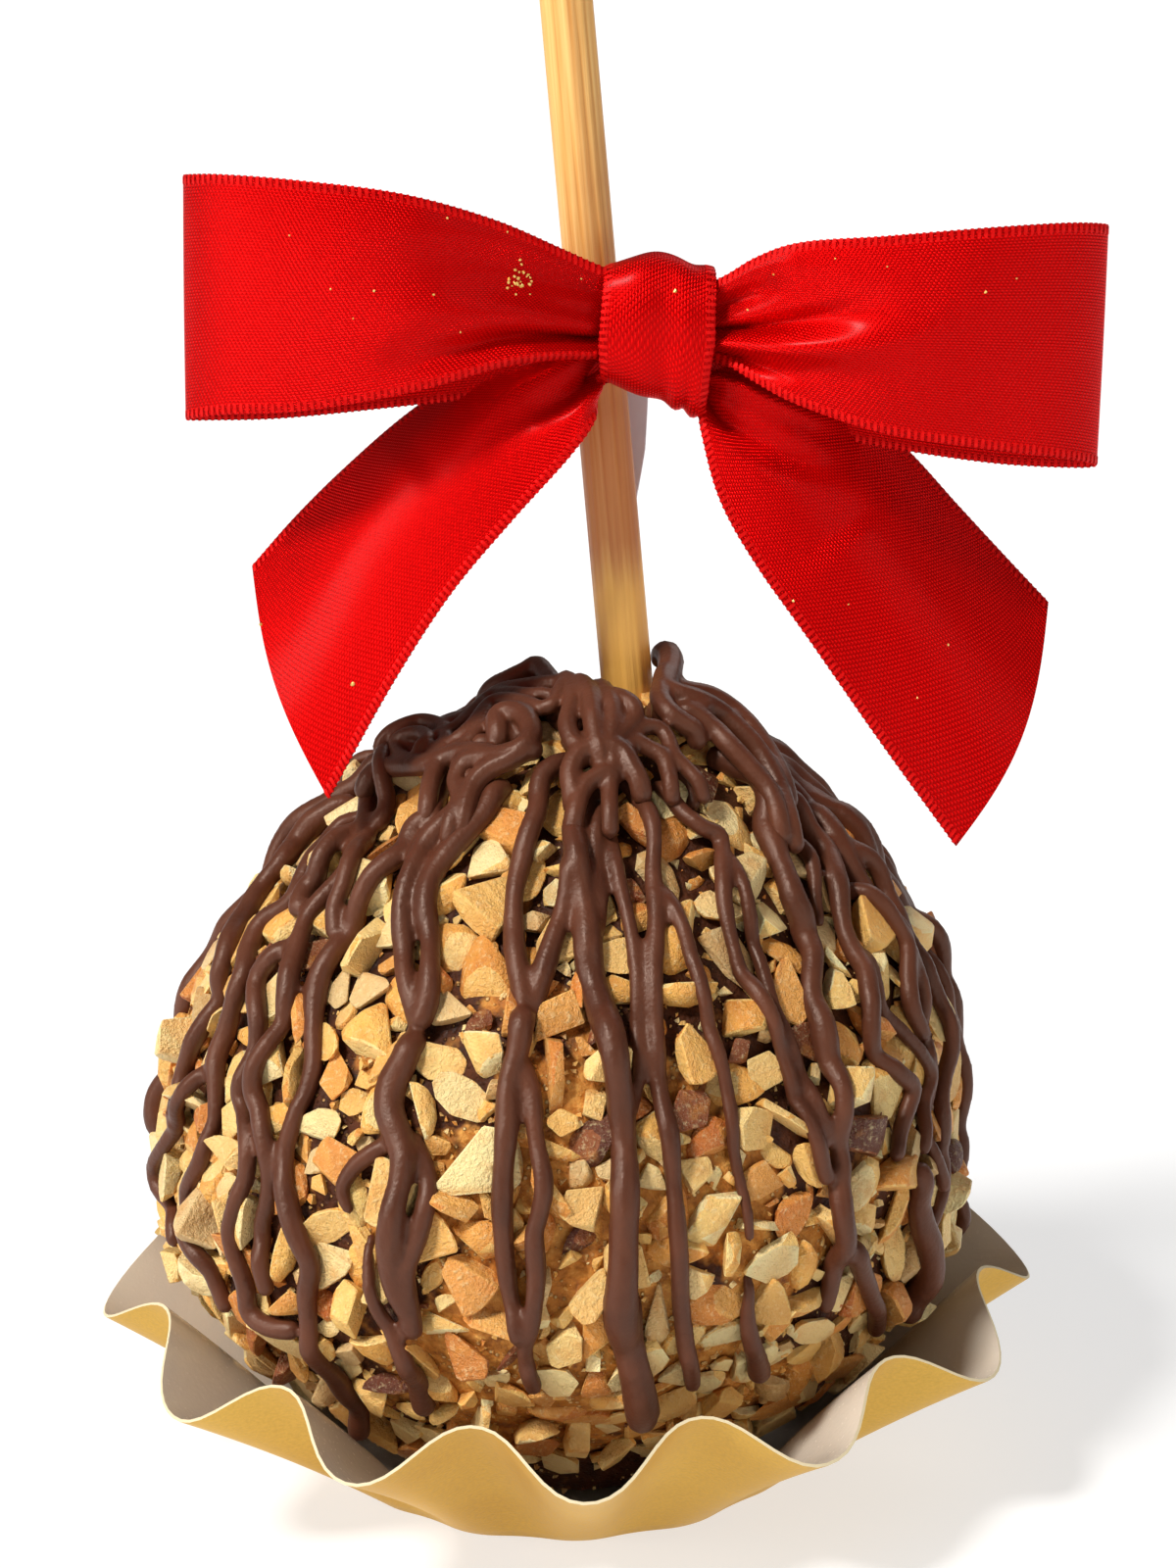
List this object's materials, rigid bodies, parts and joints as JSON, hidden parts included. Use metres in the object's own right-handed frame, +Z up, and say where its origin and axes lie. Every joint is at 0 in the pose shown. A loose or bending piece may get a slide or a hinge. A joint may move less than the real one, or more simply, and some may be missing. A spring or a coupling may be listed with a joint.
{
  "type": "caramel apple",
  "caption": "Apple coated in caramel, chopped nuts and drizzled chocolate, on a bamboo stick with a red ribbon bow, in a fluted gold paper cup.",
  "frame": {"origin": "centre of the paper cup's flat base, on the surface it stands on", "axes": "+Z up, -Y towards the bow and the front, +X to the right seen from the front"},
  "size_m": [0.11, 0.106, 0.1773],
  "materials": {
    "paper_cup": "satin gold card outside, white inside",
    "nut_coating": "sugary caramel with chopped roasted nuts",
    "chocolate": "satin dark chocolate",
    "bamboo": "smooth bare bamboo",
    "red_satin": "woven satin ribbon",
    "tie_plastic": "translucent plastic film"
  },
  "bodies": {
    "root": {"paper_cup": "paper_cup", "apple": "nut_coating", "stick": "bamboo", "bow_ribbon": "red_satin", "bow_knot": "red_satin", "twist_tie": "tie_plastic"}
  },
  "joints": []
}
